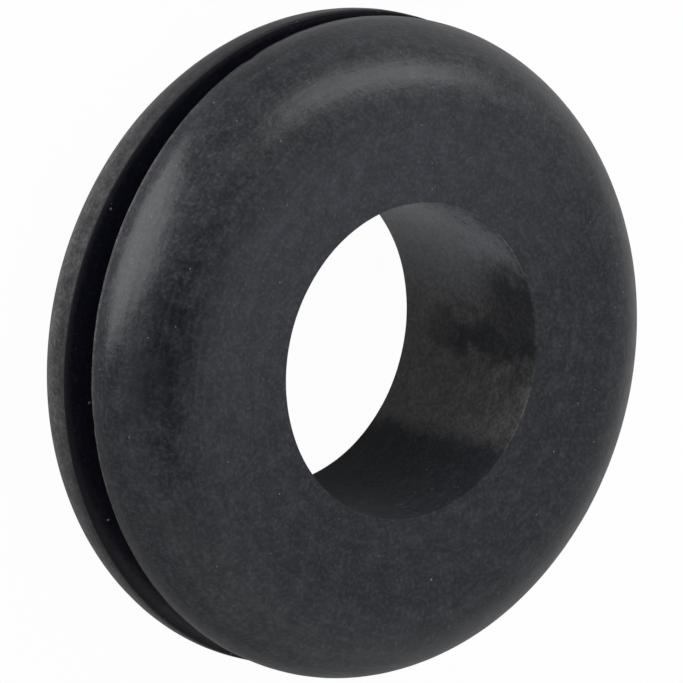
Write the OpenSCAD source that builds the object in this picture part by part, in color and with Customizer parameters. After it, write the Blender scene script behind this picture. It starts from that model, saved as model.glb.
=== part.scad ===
// Rubber grommet, moulded in one piece: a thick front flange and a thinner back
// flange on a short sleeve. The groove between the flanges grips the edge of a panel
// hole, and a cable passes through the straight bore.
// Millimetres. The bore runs along Z, the front flange faces +Z, and the origin is
// on the bore axis at the middle of the groove, where the panel lies.

/* [Flanges] */
// Outside diameter of the front flange
front_d = 25.4; // [23:0.1:32]
// Thickness of the front flange, from the groove to its flat face
front_t = 3.8; // [2.4:0.1:6]
// Outside diameter of the back flange
back_d = 25.1; // [23:0.1:32]
// Thickness of the back flange, from the groove to its flat face
back_t = 2.5; // [1.6:0.1:5]

/* [Panel groove] */
// Width of the groove, for the thickness of the panel
groove_w = 1.6; // [0.8:0.1:3.2]
// Diameter of the groove's floor, for the hole in the panel
groove_d = 19; // [16:0.5:21]

/* [Bore] */
// Diameter of the bore that the cable passes through
bore_d = 12.1; // [8:0.1:14]

/* [Roundings] */
// Radius of the broad shoulder around the flat front face
front_shoulder_r = 3.4; // [0.5:0.1:4]
// Radius of the shoulder around the flat back face
back_shoulder_r = 2.1; // [0.5:0.1:4]
// Radius on the crisp outer edges of the groove
groove_edge_r = 0.1; // [0.05:0.05:0.8]
// Radius on both mouths of the bore
bore_edge_r = 0.2; // [0.05:0.05:0.5]

/* [Hidden] */
$fn = 180;
front_r = front_d / 2;
back_r = back_d / 2;
groove_r = groove_d / 2;
bore_r = bore_d / 2;
groove_front_z = groove_w / 2;
groove_back_z = -groove_w / 2;
front_z = groove_front_z + front_t;
back_z = groove_back_z - back_t;
rubber_black = [0.2, 0.22, 0.235];

// A shoulder ends at the latest where its flange's groove edge begins
function shoulder(r, t) = min(r, t - groove_edge_r);

// What a rounding of radius r takes off a corner of the section. The corner points
// outwards as way says, such as [1, 1] for up and away from the axis.
module corner_waste(corner, way, r) {
    translate(corner - r * way)
        difference() {
            translate(r * (way - [1, 1])) square(2 * r);
            circle(r = r);
        }
}

// Half section of the grommet with sharp corners: the sleeve and its two flanges
module blank_section() {
    translate([bore_r, back_z]) square([groove_r - bore_r, front_z - back_z]);
    translate([bore_r, groove_front_z]) square([front_r - bore_r, front_t]);
    translate([bore_r, back_z]) square([back_r - bore_r, back_t]);
}

// The same half section as it is moulded, with every outer corner rounded
module moulded_section() {
    difference() {
        blank_section();
        corner_waste([front_r, front_z], [1, 1], shoulder(front_shoulder_r, front_t));
        corner_waste([front_r, groove_front_z], [1, -1], groove_edge_r);
        corner_waste([back_r, groove_back_z], [1, 1], groove_edge_r);
        corner_waste([back_r, back_z], [1, -1], shoulder(back_shoulder_r, back_t));
        corner_waste([bore_r, front_z], [-1, 1], bore_edge_r);
        corner_waste([bore_r, back_z], [-1, -1], bore_edge_r);
    }
}

module grommet() {
    color(rubber_black)
        rotate_extrude()
            moulded_section();
}

grommet();
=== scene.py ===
import math
from functools import reduce
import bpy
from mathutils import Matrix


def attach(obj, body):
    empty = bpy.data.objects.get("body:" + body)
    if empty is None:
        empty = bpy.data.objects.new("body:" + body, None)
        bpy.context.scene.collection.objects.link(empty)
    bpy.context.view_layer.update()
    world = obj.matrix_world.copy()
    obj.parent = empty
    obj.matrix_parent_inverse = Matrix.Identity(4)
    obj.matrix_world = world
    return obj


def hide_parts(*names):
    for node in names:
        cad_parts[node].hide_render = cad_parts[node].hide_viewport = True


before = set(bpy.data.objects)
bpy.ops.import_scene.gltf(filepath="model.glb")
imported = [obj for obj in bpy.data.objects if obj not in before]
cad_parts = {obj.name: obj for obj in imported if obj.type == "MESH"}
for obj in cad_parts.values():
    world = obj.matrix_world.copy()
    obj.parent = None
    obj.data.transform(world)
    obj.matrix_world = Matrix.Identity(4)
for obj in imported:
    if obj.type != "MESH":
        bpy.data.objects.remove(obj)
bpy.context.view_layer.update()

from types import SimpleNamespace

import bpy
import numpy as np
from mathutils import Matrix, Vector

MM = 0.001

# The grommet's section in millimetres, as the CAD source has it. Z runs along the bore.
FRONT_R = 12.7
BACK_R = 12.55
FRONT_Z = 4.6
BACK_Z = -3.3
GROOVE_R = 9.5
GROOVE_Z = 0.8
BORE_R = 6.05
FRONT_SHOULDER_R = 3.4
BACK_SHOULDER_R = 2.1
GROOVE_EDGE_R = 0.1
# Roundings that the scene has finer than the source, or alone
FRONT_MOUTH_R = 0.07
BACK_MOUTH_R = 0.06
FLOOR_FILLET_R = 0.12

# How finely the turn, the section's straight lines and its arcs are divided
SEGMENTS = 540
LINE_STEP = 0.24
ARC_STEP = 0.192
FEWEST_ARC_STEPS = 5

# Soft waves in the surface, as (how many, most round the turn, most along the section), and how deep
# they sink
SEED = 7
BROAD_WAVES = (40, 14, 6)
BROAD_SINK = 0.010
FINE_WAVES = (60, 60, 24)
FINE_SINK = 0.0015

# The groove's trimmed edges: how wide the trimming reaches, its waves and depth, how much of it goes
# inwards, and small cuts as (angle, half width in degrees, depth)
EDGE_BAND = 0.22
EDGE_WAVES = (30, 70, 0)
EDGE_WANDER = 0.010
EDGE_INWARDS = 0.6
FRONT_NICKS = ((131, 1.2, 0.05), (205, 0.8, 0.04))
BACK_NICKS = ((150, 1.5, 0.06), (165, 0.7, 0.05))

# How the soft flanges lean along the bore, in millimetres at the rim for each millimetre across
FRONT_LEAN = 0.017
BACK_LEAN = (0.015, 0.0245)

# The back flange's growth, its shift in X and Y, and how far it is drawn out at both ends of Y
BACK_GROWTH = 0.03
BACK_SHIFT = (0.13, 0.04)
BACK_OVAL = 0.08
OVAL_POWER = 8

# How far the front flange draws in and towards the groove, below this height, and the bore's shift in
# X and Y
DRAFT_IN = 0.10
DRAFT_DOWN = 0.12
DRAFT_TOP = 1.9
BORE_SHIFT = (-0.125, -0.045)

# Tolerances by which points of the section are told apart
HAIR = 0.001
TOUCH = 0.02
FLOOR_TOUCH = 0.1
WALL_TOUCH = 0.03
EDGE_TOUCH = 0.06
EDGE_DEPTH = 0.12

# The rubber's colours, linear
RUBBER_DARK = (0.0048, 0.0060, 0.0098)
RUBBER_PALE = (0.0068, 0.0084, 0.0128)
# Bluish bloom film, also the colour of painted light on the face and of a painted sheen in the bore
BLOOM_AND_PAINTED_LIGHT = (0.27, 0.30, 0.37)
# Warm film on the shoulders, also the colour of painted light on the rims and in the bore
WARM_FILM_AND_PAINTED_LIGHT = (0.30, 0.292, 0.278)
DUST = (0.55, 0.54, 0.50)
# Painted shade: the groove's recess made nearly black
GROOVE_PAINTED_SHADE = (0.006, 0.006, 0.014)

# Random patterns, as (features per millimetre, detail, roughness). The last two are drawn out round the
# turn, by factors round the turn and along the section.
CLOUD = (0.22, 3, 0.5)
MOTTLE = (1.3, 5, 0.62)
GRAIN = (6.5, 3, 0.6)
POWDERY = (4.2, 4, 0.7)
STREAK = (1.0, 4, 0.6)
STREAK_STRETCH = (5, 5, 3.2)
FINE_LINE = (1.0, 3, 0.6)
LINE_STRETCH = (3.5, 3.5, 7)

# From here, a tuple of four is what a ramp takes: the value where it starts, the value where it ends,
# and its result at both. One of two goes from 0 to 1.

# Grey film on the rubber, by pattern
CLOUD_PALE = (0.3, 0.7)
MOTTLE_FILM = (0.38, 0.72, 0, 0.040)
GRAIN_FILM = (0.42, 0.75, 0, 0.080)
STREAK_FILM = (0.45, 0.78, 0, 0.038)
LINE_FILM = (0.45, 0.72, 0, 0.030)
POWDER_FILM = (0.52, 0.74)
FACE_POWDER = 0.026
SHOULDER_POWDER = 0.034
SHOULDER_WARMTH = 0.5
BACK_CLEAN = 0.45
EDGE_CLEAN = 0.7

# Bands round the turn, as (angle, degrees to the soft edge, softness, share). The edge wavers by
# BAND_UNEVEN radians for a whole step of the mottle. The cosine stays just below 1.
BAND_UNEVEN = 0.4
LARGEST_COSINE = 0.9999
# Painted sheen and painted light in the bore, and painted shadow across the bore and along its mouth, which
# cuts them back
BORE_PAINTED_SHEEN = (93, 57, 26, 0.33)
BORE_PAINTED_LIGHT = (60, 83, 6, 0.25)
BORE_PAINTED_SHADOW = (14, 6, 8, 0.20)
MOUTH_PAINTED_SHADOW = (28, 16, 9, 0.19)
# Painted shade in a band on the left shoulder
SHOULDER_PAINTED_SHADE = (193, 11, 9, 0.5)

# Heights in millimetres between which those bands fade, and how patterns break them up
PAINTED_SHEEN_HEIGHT = (4.1, 4.5, 1, 0.15)
PAINTED_SHADOW_HEIGHT = (-2.8, 0.2)
MOUTH_SHADOW_HEIGHT = (0.4, 3.4)
PAINTED_SHADE_FROM = (2.0, 3.0)
PAINTED_SHADE_TO = (3.9, 4.4, 1, 0)
PAINTED_SHADE_STREAKS = (0.3, 0.6, 0.6, 1.3)
PATCHY_MOTTLE = (0.3, 0.7, 0.55, 1.3)
PATCHY_GRAIN = (0.3, 0.7, 0.5, 1.4)

# Painted light on one side of the face, dust and painted light on one side of the shoulders, and painted
# light and a painted highlight on the rims of the low side
FACE_LIGHT_SIDE = (-0.66, 0.75, 0)
FACE_PAINTED_LIGHT = (-4, 8, 0, 0.054)
DUST_AND_LIGHT_SIDE = (-0.42, -0.91, 0)
DUST_AND_LIGHT = (0.45, 0.97, 0, 0.040)
DUST_AND_LIGHT_POWDER = (0.35, 0.65, 0.6, 1.3)
LOW_SIDE = (-0.87, -0.5, 0)
LOW_REACH = (-0.1, 0.75)
BACK_PAINTED_LIGHT = 0.12
FRONT_EDGE_PAINTED_HIGHLIGHT = 0.22
BACK_RIM_PAINTED_LIGHT = (-2.3, -1.3, 0.26, 0)

# Dust specks, as (cells per millimetre, largest radius in cells, share of the cells), and how much they
# show
LARGE_SPECKS = (1.15, 0.06, 0.45)
SMALL_SPECKS = (3.1, 0.10, 0.2)
SPECKS_SHOW = 0.26
GROOVE_SPECKS = (2.2, 0.14, 0.35)
GROOVE_GRAIN = (0.5, 0.8, 0, 0.06)
GROOVE_SPECKS_SHOW = 0.30

# Roughness, shine and relief
ROUGHNESS = 0.32
ROUGH_MOTTLE = (0.3, 0.7, ROUGHNESS - 0.04, ROUGHNESS + 0.05)
ROUGH_GRAIN = (0.4, 0.75, 0, 0.06)
BORE_ROUGHER = 0.48
BANDS_SMOOTHER = 1.9
EDGE_ROUGHER = 0.4
SHINE = 0.5
BUMP_MM = 0.028
GRAIN_BUMP = 0.16
STREAK_BUMP = 0.35

# The white surrounding: its plain and its reflected level, and the side that is darker in reflections
WORLD_LIGHT = 0.7
WORLD_REFLECTED = 0.42
SHADED_SIDE = (-0.560, -0.288, 0.777)
SHADED_SHARE = 0.05
SHADED = (0.72, 0.95, WORLD_REFLECTED, WORLD_REFLECTED * SHADED_SHARE)

# The floor, in metres, and its level as the camera sees it and in reflections, graded across it
FLOOR_HALF = 0.6
FLOOR_GAP = 0.00002
FLOOR_COLOUR = (0.7, 0.7, 0.7)
FLOOR_SEEN = 0.975
FLOOR_BRIGHT_SIDE = (0.70, 0.71, 0)
FLOOR_REFLECTED = (-0.015, 0.025, 0.22, 0.54)

# A soft lamp above, at (azimuth, elevation, metres away), and a low one beside the grommet, at a place in
# metres
UPPER_AT = (79, 30.5, 0.2)
UPPER_SIZE = (0.205, 0.080)
UPPER_RADIANCE = 2.5
LOW_AT = (-0.03296, 0.00637, 0.00305)
LOW_SIZE = (0.0155, 0.0362)
LOW_RADIANCE = 2.45
LOW_TARGET = (-0.02993, 0.0057, 0.0126)

# The photo's view: the bore axis stands TILT off the line of sight, and the picture is rolled by ROLL
TILT = math.radians(40.2)
ROLL = math.radians(14.38)
FRAME_PIXELS = 683
PIXELS_PER_MM = 26.36
AXIS_PIXEL = (351.4, 344.2)
CAMERA_DISTANCE = 1.1
CAMERA_CLIP = (0.1, 10)
SENSOR_MM = 36


def arc(centre, radius, start, end):
    """Points (r, z) on an arc, angles in degrees up from the outward direction."""
    count = max(FEWEST_ARC_STEPS, math.ceil(radius * math.radians(abs(end - start)) / ARC_STEP))
    angles = [math.radians(start + (end - start) * i / count) for i in range(count + 1)]
    return [(centre[0] + radius * math.cos(a), centre[1] + radius * math.sin(a)) for a in angles]


def line(start, end):
    """Points (r, z) between two ends, without the ends."""
    count = max(1, math.ceil(math.dist(start, end) / LINE_STEP))
    shares = [i / count for i in range(1, count)]
    return [(start[0] + (end[0] - start[0]) * s, start[1] + (end[1] - start[1]) * s) for s in shares]


def section():
    """The closed half section: up the bore, out over the front, round the groove and back under."""
    floor_fillet_z = GROOVE_Z - FLOOR_FILLET_R
    floor_fillet_r = GROOVE_R + FLOOR_FILLET_R
    groove_edge_z = GROOVE_Z + GROOVE_EDGE_R
    corners = [
        arc((BORE_R + BACK_MOUTH_R, BACK_Z + BACK_MOUTH_R), BACK_MOUTH_R, 270, 180),
        arc((BORE_R + FRONT_MOUTH_R, FRONT_Z - FRONT_MOUTH_R), FRONT_MOUTH_R, 180, 90),
        arc((FRONT_R - FRONT_SHOULDER_R, FRONT_Z - FRONT_SHOULDER_R), FRONT_SHOULDER_R, 90, 0),
        arc((FRONT_R - GROOVE_EDGE_R, groove_edge_z), GROOVE_EDGE_R, 0, -90),
        arc((floor_fillet_r, floor_fillet_z), FLOOR_FILLET_R, 90, 180),
        arc((floor_fillet_r, -floor_fillet_z), FLOOR_FILLET_R, 180, 270),
        arc((BACK_R - GROOVE_EDGE_R, -groove_edge_z), GROOVE_EDGE_R, 90, 0),
        arc((BACK_R - BACK_SHOULDER_R, BACK_Z + BACK_SHOULDER_R), BACK_SHOULDER_R, 0, -90),
    ]
    points = []
    for corner, following in zip(corners, corners[1:] + corners[:1]):
        points += corner + line(corner[-1], following[0])
    return np.array(points)


def normals_of(profile):
    """Outward unit normals (r, z) of the closed section."""
    along = np.roll(profile, -1, 0) - np.roll(profile, 1, 0)
    out = np.stack([-along[:, 1], along[:, 0]], 1)
    return out / np.linalg.norm(out, axis=1)[:, None]


def waves(turns, run, length, rng, count, most_round, most_along):
    """A smooth random field over the turn and the section that closes on itself both ways."""
    field = np.zeros((len(turns), len(run)))
    for _ in range(count):
        across = rng.integers(-most_round, most_round + 1)
        up = rng.integers(-most_along, most_along + 1)
        phase = rng.uniform(0, 2 * math.pi)
        field += np.cos(across * turns[:, None] + up * run[None, :] * 2 * math.pi / length + phase)
    return field / math.sqrt(2 * count)


def sunk(field):
    """How far the surface sinks where a random field has its value, between 0 and 2."""
    return 1 - np.clip(field / 2, -1, 1)


def share_between(value, start, end):
    """0 at the start, 1 at the end, and straight between them."""
    return np.clip((value - start) / (end - start), 0, 1)


def lean(r, z, x, y):
    """How far the soft rims lean along the bore, so that the groove is wider on the photo's lower side."""
    front = share_between(r, FRONT_R - FRONT_SHOULDER_R, FRONT_R) ** 2
    back = share_between(r, BACK_R - BACK_SHOULDER_R, BACK_R) ** 2
    return np.where(z > 0, -FRONT_LEAN * y * front, (BACK_LEAN[0] * x + BACK_LEAN[1] * y) * back)


def nick_depth(turns, nicks):
    """Depth in millimetres, round the turn, of small cuts given as (angle, half width, depth)."""
    depth = np.zeros(len(turns))
    for angle, width, deep in nicks:
        apart = np.degrees(np.angle(np.exp(1j * (turns - math.radians(angle)))))
        depth = np.maximum(depth, deep * np.exp(-((apart / width) ** 2)))
    return depth


def moulded_points(profile, run, length, turns):
    """The grommet's points in millimetres, by turn and place in the section, with all unevenness."""
    rng = np.random.default_rng(SEED)
    normal = normals_of(profile)
    r0 = profile[None, :, 0] + np.zeros((SEGMENTS, 1))
    z0 = profile[None, :, 1] + np.zeros((SEGMENTS, 1))

    # The soft waves only sink into the CAD form
    sink = BROAD_SINK * sunk(waves(turns, run, length, rng, *BROAD_WAVES))
    sink += FINE_SINK * sunk(waves(turns, run, length, rng, *FINE_WAVES))
    r = r0 - sink * normal[None, :, 0]
    z = z0 - sink * normal[None, :, 1]

    # The trimmed edges of the groove wander a little and carry a few nicks
    wander = waves(turns, run[:1], length, rng, *EDGE_WAVES)[:, 0]
    for edge_r, side, nicks in ((FRONT_R, 1, FRONT_NICKS), (BACK_R, -1, BACK_NICKS)):
        away = np.hypot(r0 - (edge_r - EDGE_BAND / 2), z0 - side * (GROOVE_Z + EDGE_BAND / 2))
        near = np.exp(-((away / EDGE_BAND) ** 2)) * (np.sign(z0) == side)
        cut = (EDGE_WANDER * (1 + np.clip(wander, -1, 1)) + nick_depth(turns, nicks))[:, None]
        z += side * near * cut
        r -= near * cut * EDGE_INWARDS
        wander = np.roll(wander[::-1], SEGMENTS // 3)

    # The back flange is a little oval and sits off the front one
    behind = (z0 < FLOOR_FILLET_R - GROOVE_Z) * share_between(r0, GROOVE_R, BACK_R)
    oval = np.abs(np.sin(turns))[:, None] ** OVAL_POWER
    r += (BACK_GROWTH + BACK_OVAL * oval) * behind
    x = r * np.cos(turns)[:, None] + BACK_SHIFT[0] * behind
    y = r * np.sin(turns)[:, None] + BACK_SHIFT[1] * behind
    z += lean(r0, z0, x, y)

    # The front flange draws in a little towards the groove
    drawn = share_between(z0, DRAFT_TOP, GROOVE_Z) ** 2 * share_between(r0, GROOVE_R, FRONT_R)
    drawn *= z0 > GROOVE_Z - FLOOR_FILLET_R
    x *= 1 - DRAFT_IN / FRONT_R * drawn
    y *= 1 - DRAFT_IN / FRONT_R * drawn
    z -= DRAFT_DOWN * drawn

    # The bore sits a little off the flanges' axis
    inner = share_between(r0, GROOVE_R, BORE_R)
    x += BORE_SHIFT[0] * inner
    y += BORE_SHIFT[1] * inner
    return np.stack([x, y, z], 2)


def mark_parts(mesh, profile, run, turns):
    """Attributes by which the rubber's looks tell the section's parts and the way it was turned."""
    r, z = profile.T
    above_groove = np.abs(z) - GROOVE_Z
    edge_middle = GROOVE_EDGE_R / 2
    parts = {
        "exposed": (above_groove >= TOUCH) | (r <= GROOVE_R - FLOOR_TOUCH),
        "bore_wall": r < BORE_R + WALL_TOUCH,
        "edge_line": (np.abs(above_groove - edge_middle) < EDGE_TOUCH) & (r > BACK_R - EDGE_DEPTH),
        "back_flange": (z < -GROOVE_Z) & (r > BORE_R + HAIR),
        "shoulder": np.clip(normals_of(profile)[:, 0] * 2, 0, 1),
    }
    for name, part in parts.items():
        layer = mesh.attributes.new(name, "FLOAT", "POINT")
        layer.data.foreach_set("value", np.tile(part, SEGMENTS).astype(np.float32))
    turned = np.stack([
        np.repeat(np.cos(turns)[:, None], len(run), 1),
        np.repeat(np.sin(turns)[:, None], len(run), 1),
        np.repeat(run[None, :], SEGMENTS, 0),
    ], 2)
    layer = mesh.attributes.new("turned", "FLOAT_VECTOR", "POINT")
    layer.data.foreach_set("vector", turned.astype(np.float32).ravel())


def make_grommet():
    profile = section()
    steps = np.linalg.norm(np.roll(profile, -1, 0) - profile, axis=1)
    run = np.concatenate([[0], np.cumsum(steps)[:-1]])
    turns = np.linspace(0, 2 * math.pi, SEGMENTS, endpoint=False)
    points = moulded_points(profile, run, steps.sum(), turns).reshape(-1, 3) * MM

    rows = len(profile)
    i, j = np.meshgrid(np.arange(SEGMENTS), np.arange(rows), indexing="ij")
    next_i = (i + 1) % SEGMENTS
    next_j = (j + 1) % rows
    corners = [i * rows + j, i * rows + next_j, next_i * rows + next_j, next_i * rows + j]
    faces = np.stack(corners, 2).reshape(-1, 4)
    mesh = bpy.data.meshes.new("moulded_grommet")
    mesh.from_pydata(points.tolist(), [], faces.tolist())
    mesh.shade_smooth()
    mark_parts(mesh, profile, run, turns)

    piece = bpy.data.objects.new("moulded_grommet", mesh)
    bpy.context.scene.collection.objects.link(piece)
    return piece


class Tree:
    """Short ways to add and join the nodes of a material or of the world."""

    def __init__(self, owner):
        owner.use_nodes = True
        self.nodes = owner.node_tree.nodes
        self.links = owner.node_tree.links

    def feed(self, socket, value):
        """Sets a socket to a number, vector or colour, or joins an output to it."""
        if isinstance(value, (int, float)):
            socket.default_value = value
        elif isinstance(value, tuple):
            socket.default_value = (*value, 1) if socket.type == "RGBA" else value
        else:
            self.links.new(value, socket)

    def node(self, kind, inputs=None, **settings):
        made = self.nodes.new(kind)
        for name, value in settings.items():
            setattr(made, name, value)
        for name, value in (inputs or {}).items():
            self.feed(made.inputs[name], value)
        return made

    def attribute(self, name, output="Fac"):
        return self.node("ShaderNodeAttribute", attribute_name=name).outputs[output]

    def noise(self, where, scale, detail, roughness):
        """A noise value in 0 to 1, scale in features per unit."""
        inputs = {"Vector": where, "Scale": scale, "Detail": detail, "Roughness": roughness}
        return self.node("ShaderNodeTexNoise", inputs).outputs["Fac"]

    def ramp(self, value, start, end, at_start=0.0, at_end=1.0, shape="SMOOTHSTEP"):
        """Goes from one result to the other while the value goes from the start to the end."""
        inputs = {"Value": value, "From Min": start, "From Max": end, "To Min": at_start, "To Max": at_end}
        return self.node("ShaderNodeMapRange", inputs, interpolation_type=shape).outputs["Result"]

    def maths(self, operation, *values):
        return self.node("ShaderNodeMath", dict(enumerate(values)), operation=operation).outputs[0]

    def plus(self, *values):
        return reduce(lambda a, b: self.maths("ADD", a, b), values)

    def times(self, *values):
        return reduce(lambda a, b: self.maths("MULTIPLY", a, b), values)

    def without(self, value, share=1.0):
        """What is left of 1 without that share of the value."""
        return self.maths("MULTIPLY_ADD", value, -share, 1.0)

    def vectors(self, operation, a, b):
        return self.node("ShaderNodeVectorMath", {0: a, 1: b}, operation=operation)

    def dot(self, a, b):
        return self.vectors("DOT_PRODUCT", a, b).outputs["Value"]

    def mix(self, share, a, b, kind="FLOAT", socket_type="VALUE"):
        """Mixes b into a by a share."""
        made = self.node("ShaderNodeMix", {"Factor": share}, data_type=kind)
        for name, value in (("A", a), ("B", b)):
            self.feed(next(s for s in made.inputs if s.name == name and s.type == socket_type), value)
        return next(s for s in made.outputs if s.type == socket_type)

    def tint(self, share, under, over):
        """Lays one colour over another by a share."""
        return self.mix(share, under, over, "RGBA", "RGBA")

    def specks(self, where, scale, radius, share):
        """Round grains: 1 inside up to radius (in cells) of a cell's point, in that share of the cells."""
        cells = self.node("ShaderNodeTexVoronoi", {"Vector": where, "Scale": scale})
        split = self.node("ShaderNodeSeparateColor", {"Color": cells.outputs["Color"]}).outputs
        grain = self.maths("LESS_THAN", cells.outputs["Distance"], self.times(split["Green"], radius))
        return self.times(grain, self.maths("LESS_THAN", split["Red"], share))


def patterns(tree):
    """The places, parts and random patterns that the rubber's looks are made of."""
    place = tree.node("ShaderNodeTexCoord").outputs["Object"]
    mm = tree.node("ShaderNodeVectorMath", {0: place, "Scale": 1 / MM}, operation="SCALE").outputs[0]
    turned = tree.attribute("turned", "Vector")
    streaks = tree.vectors("MULTIPLY", turned, STREAK_STRETCH).outputs[0]
    lines = tree.vectors("MULTIPLY", turned, LINE_STRETCH).outputs[0]
    return SimpleNamespace(
        mm=mm,
        height=tree.node("ShaderNodeSeparateXYZ", {"Vector": mm}).outputs["Z"],
        turned=turned,
        exposed=tree.attribute("exposed"),
        bore_wall=tree.attribute("bore_wall"),
        back_flange=tree.attribute("back_flange"),
        edge_line=tree.attribute("edge_line"),
        shoulder=tree.attribute("shoulder"),
        cloud=tree.noise(mm, *CLOUD),
        mottle=tree.noise(mm, *MOTTLE),
        grain=tree.noise(mm, *GRAIN),
        powdery=tree.noise(mm, *POWDERY),
        streak=tree.noise(streaks, *STREAK),
        fine_line=tree.noise(lines, *FINE_LINE),
    )


def band(tree, skin, angle, reach, soft, share):
    """A share that fills a band round the turn about an angle, with an uneven soft edge."""
    middle = (math.cos(math.radians(angle)), math.sin(math.radians(angle)), 0)
    apart = tree.maths("ARCCOSINE", tree.maths("MINIMUM", tree.dot(skin.turned, middle), LARGEST_COSINE))
    uneven = tree.maths("MULTIPLY_ADD", skin.mottle, BAND_UNEVEN, -BAND_UNEVEN / 2)
    soft_start = math.radians(reach - soft)
    soft_end = math.radians(reach + soft)
    return tree.ramp(tree.plus(apart, uneven), soft_start, soft_end, share, 0)


def film_share(tree, skin):
    """How much grey film lies on the rubber, less in a streaky band of painted shade on the left shoulder.
    """
    film = tree.plus(
        tree.ramp(skin.mottle, *MOTTLE_FILM),
        tree.ramp(skin.grain, *GRAIN_FILM),
        tree.ramp(skin.streak, *STREAK_FILM),
    )
    powder_level = tree.maths("MULTIPLY_ADD", skin.shoulder, SHOULDER_POWDER, FACE_POWDER)
    film = tree.plus(
        tree.times(film, tree.without(skin.back_flange, BACK_CLEAN)),
        tree.times(tree.ramp(skin.powdery, *POWDER_FILM), powder_level),
        tree.times(tree.ramp(skin.fine_line, *LINE_FILM), skin.shoulder),
    )
    # Painted shade: a streaky band beside the left highlight loses its film
    painted_shade = tree.times(
        band(tree, skin, *SHOULDER_PAINTED_SHADE),
        tree.ramp(skin.height, *PAINTED_SHADE_FROM),
        tree.ramp(skin.height, *PAINTED_SHADE_TO),
        tree.ramp(skin.streak, *PAINTED_SHADE_STREAKS),
    )
    return tree.times(film, tree.without(skin.edge_line, EDGE_CLEAN), tree.without(painted_shade))


def painted_rim_light(tree, skin):
    """Painted light on the low side: the back flange paler, most towards its back rim, and a painted
    highlight along the groove's front edge.
    """
    low_side = tree.ramp(tree.dot(skin.turned, LOW_SIDE), *LOW_REACH)
    back = tree.plus(tree.ramp(skin.height, *BACK_RIM_PAINTED_LIGHT), BACK_PAINTED_LIGHT)
    front_edge_highlight = tree.times(skin.edge_line, tree.without(skin.back_flange), FRONT_EDGE_PAINTED_HIGHLIGHT)
    return tree.times(low_side, tree.plus(tree.times(skin.back_flange, back), front_edge_highlight))


def bore_light_and_shadow(tree, skin):
    """Painted light in the bore's wall, a warm band and a bluish painted sheen, both cut back where painted
    shadow falls.
    """
    painted_shadow = tree.maths(
        "MAXIMUM",
        tree.times(band(tree, skin, *BORE_PAINTED_SHADOW), tree.ramp(skin.height, *PAINTED_SHADOW_HEIGHT)),
        tree.times(band(tree, skin, *MOUTH_PAINTED_SHADOW), tree.ramp(skin.height, *MOUTH_SHADOW_HEIGHT)),
    )
    unshadowed = [tree.maths("SUBTRACT", band(tree, skin, *wide), painted_shadow) for wide in (BORE_PAINTED_LIGHT, BORE_PAINTED_SHEEN)]
    bore_light, painted_sheen = (tree.times(tree.maths("MAXIMUM", share, 0), skin.bore_wall) for share in unshadowed)
    return bore_light, tree.times(painted_sheen, tree.ramp(skin.height, *PAINTED_SHEEN_HEIGHT))


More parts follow.
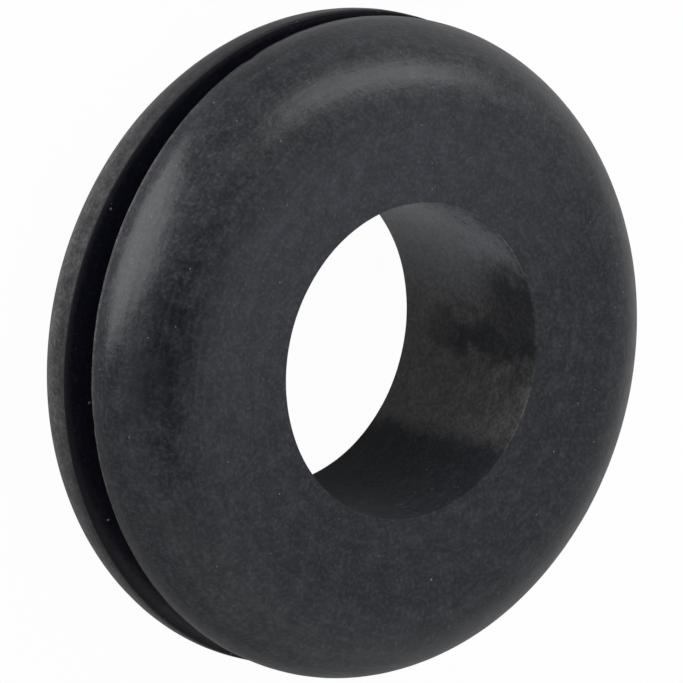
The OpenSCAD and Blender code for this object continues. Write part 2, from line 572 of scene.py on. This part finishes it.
def rubber():
    mat = bpy.data.materials.new("black_rubber")
    tree = Tree(mat)
    shader = tree.nodes["Principled BSDF"]
    skin = patterns(tree)

    # Black rubber under a thin grey film
    body = tree.tint(tree.ramp(skin.cloud, *CLOUD_PALE), RUBBER_DARK, RUBBER_PALE)
    film_colour = tree.tint(tree.times(skin.shoulder, SHOULDER_WARMTH), BLOOM_AND_PAINTED_LIGHT, WARM_FILM_AND_PAINTED_LIGHT)
    coloured = tree.tint(film_share(tree, skin), body, film_colour)

    # Painted light on one side of the face, and dust with painted light on one side of the shoulders
    face_light = tree.ramp(tree.dot(skin.mm, FACE_LIGHT_SIDE), *FACE_PAINTED_LIGHT)
    face_light = tree.times(face_light, tree.without(skin.shoulder), skin.exposed)
    coloured = tree.tint(face_light, coloured, BLOOM_AND_PAINTED_LIGHT)
    # Dust and painted light: the shoulders paler on the lower left, in powdery patches
    dust_and_light = tree.ramp(tree.dot(skin.turned, DUST_AND_LIGHT_SIDE), *DUST_AND_LIGHT)
    dust_and_light = tree.times(dust_and_light, skin.shoulder, tree.ramp(skin.powdery, *DUST_AND_LIGHT_POWDER))
    coloured = tree.tint(dust_and_light, coloured, film_colour)

    # Painted light on the rims and in the bore, and a painted sheen in the bore, broken up by the patterns
    bore_light, painted_sheen = bore_light_and_shadow(tree, skin)
    patchy = tree.times(tree.ramp(skin.mottle, *PATCHY_MOTTLE), tree.ramp(skin.grain, *PATCHY_GRAIN))
    pale = tree.times(tree.plus(painted_rim_light(tree, skin), bore_light), patchy)
    coloured = tree.tint(pale, coloured, WARM_FILM_AND_PAINTED_LIGHT)
    coloured = tree.tint(tree.times(painted_sheen, patchy), coloured, BLOOM_AND_PAINTED_LIGHT)

    # Specks of dust, and painted shade that makes the groove nearly black
    large, small, in_groove = (
        tree.specks(skin.mm, *size) for size in (LARGE_SPECKS, SMALL_SPECKS, GROOVE_SPECKS)
    )
    dust = tree.maths("MAXIMUM", large, small)
    coloured = tree.tint(tree.times(dust, SPECKS_SHOW), coloured, DUST)
    groove_dust = tree.maths("MAXIMUM", in_groove, tree.ramp(skin.grain, *GROOVE_GRAIN))
    groove = tree.tint(tree.times(groove_dust, GROOVE_SPECKS_SHOW), GROOVE_PAINTED_SHADE, DUST)
    tree.feed(shader.inputs["Base Color"], tree.tint(skin.exposed, groove, coloured))

    # The bore is rougher apart from its bands of painted light, and so are the groove's edges
    smoother = tree.without(tree.plus(bore_light, painted_sheen), BANDS_SMOOTHER)
    rough = tree.plus(
        tree.ramp(skin.mottle, *ROUGH_MOTTLE),
        tree.ramp(skin.grain, *ROUGH_GRAIN),
        tree.times(skin.bore_wall, smoother, BORE_ROUGHER),
        tree.times(skin.edge_line, EDGE_ROUGHER),
    )
    tree.feed(shader.inputs["Roughness"], rough)
    shader.inputs["Specular IOR Level"].default_value = SHINE

    relief = tree.plus(
        skin.mottle,
        tree.times(skin.grain, GRAIN_BUMP),
        tree.times(skin.streak, STREAK_BUMP),
    )
    bump = tree.node("ShaderNodeBump", {"Height": relief, "Strength": 1.0, "Distance": BUMP_MM * MM})
    tree.feed(shader.inputs["Normal"], bump.outputs[0])
    return mat


def make_camera():
    right = Vector((math.cos(TILT) * math.cos(ROLL), math.sin(ROLL), math.sin(TILT) * math.cos(ROLL)))
    up = Vector((-math.cos(TILT) * math.sin(ROLL), math.cos(ROLL), -math.sin(TILT) * math.sin(ROLL)))
    back = right.cross(up)
    middle = (FRAME_PIXELS - 1) / 2
    axis_right = (AXIS_PIXEL[0] - middle) / PIXELS_PER_MM
    axis_up = (middle - AXIS_PIXEL[1]) / PIXELS_PER_MM
    aim = (Vector((0, 0, GROOVE_Z)) - right * axis_right - up * axis_up) * MM
    data = bpy.data.cameras.new("camera")
    camera = bpy.data.objects.new("camera", data)
    bpy.context.scene.collection.objects.link(camera)
    data.sensor_width = SENSOR_MM
    data.lens = SENSOR_MM * CAMERA_DISTANCE / (FRAME_PIXELS / PIXELS_PER_MM * MM)
    data.clip_start, data.clip_end = CAMERA_CLIP
    pose = Matrix((right, up, back)).transposed().to_4x4()
    pose.translation = aim + back * CAMERA_DISTANCE
    camera.matrix_world = pose
    bpy.context.scene.camera = camera


def level_by_ray(tree, plain, reflected, seen):
    """The plain level, or another for reflected and refracted rays and another for the camera's own."""
    rays = tree.node("ShaderNodeLightPath").outputs
    level = tree.mix(rays["Is Glossy Ray"], plain, reflected)
    level = tree.mix(rays["Is Transmission Ray"], level, reflected)
    return tree.mix(rays["Is Camera Ray"], level, seen)


def make_world():
    world = bpy.data.worlds.new("studio")
    bpy.context.scene.world = world
    tree = Tree(world)
    tree.nodes.clear()
    # In reflections the side where the photographer stood is darker
    facing = tree.dot(tree.node("ShaderNodeTexCoord").outputs["Generated"], SHADED_SIDE)
    level = level_by_ray(tree, WORLD_LIGHT, tree.ramp(facing, *SHADED), 1)
    white = tree.node("ShaderNodeBackground", {"Color": (1, 1, 1), "Strength": level})
    tree.node("ShaderNodeOutputWorld", {"Surface": white.outputs[0]})


def make_floor():
    z = BACK_Z * MM - FLOOR_GAP
    corners = [(x * FLOOR_HALF, y * FLOOR_HALF, z) for x, y in ((-1, -1), (1, -1), (1, 1), (-1, 1))]
    mesh = bpy.data.meshes.new("floor")
    mesh.from_pydata(corners, [], [(0, 1, 2, 3)])
    floor = bpy.data.objects.new("floor", mesh)
    bpy.context.scene.collection.objects.link(floor)
    mat = bpy.data.materials.new("pale_floor")
    tree = Tree(mat)
    tree.nodes.clear()
    # Paper that takes the shadow, nearly white to the camera, and in reflections brighter towards one side
    paper = tree.node("ShaderNodeBsdfDiffuse", {"Color": FLOOR_COLOUR})
    across = tree.dot(tree.node("ShaderNodeTexCoord").outputs["Object"], FLOOR_BRIGHT_SIDE)
    reflected = tree.ramp(across, *FLOOR_REFLECTED, shape="LINEAR")
    white = tree.node("ShaderNodeEmission", {"Strength": level_by_ray(tree, 1, reflected, 1)})
    share = level_by_ray(tree, 0, 1, FLOOR_SEEN)
    mix = tree.node("ShaderNodeMixShader", {0: share, 1: paper.outputs[0], 2: white.outputs[0]})
    tree.node("ShaderNodeOutputMaterial", {"Surface": mix.outputs[0]})
    mesh.materials.append(mat)


def make_lamp(name, place, size, radiance, target=(0, 0, 0)):
    """A soft lamp, size wide and high in metres, at a place in metres, that faces the target."""
    data = bpy.data.lights.new(name, "AREA")
    data.shape = "RECTANGLE"
    data.size, data.size_y = size
    data.energy = radiance * math.pi * size[0] * size[1]
    lamp = bpy.data.objects.new(name, data)
    bpy.context.scene.collection.objects.link(lamp)
    lamp.location = place
    lamp.rotation_mode = "QUATERNION"
    lamp.rotation_quaternion = (Vector(place) - Vector(target)).to_track_quat("Z", "Y")
    lamp.visible_camera = False


def towards(azimuth, elevation, distance):
    """A point that far from the origin, the azimuth counted from X towards Y."""
    a = math.radians(azimuth)
    e = math.radians(elevation)
    return Vector((math.cos(a) * math.cos(e), math.sin(a) * math.cos(e), math.sin(e))) * distance


make_camera()
make_world()
make_floor()
make_lamp("upper_lamp", towards(*UPPER_AT), UPPER_SIZE, UPPER_RADIANCE)
make_lamp("low_lamp", LOW_AT, LOW_SIZE, LOW_RADIANCE, LOW_TARGET)

piece = make_grommet()
piece.data.materials.append(rubber())
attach(piece, "root")
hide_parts("grommet")

bpy.context.scene.view_settings.view_transform = "Standard"
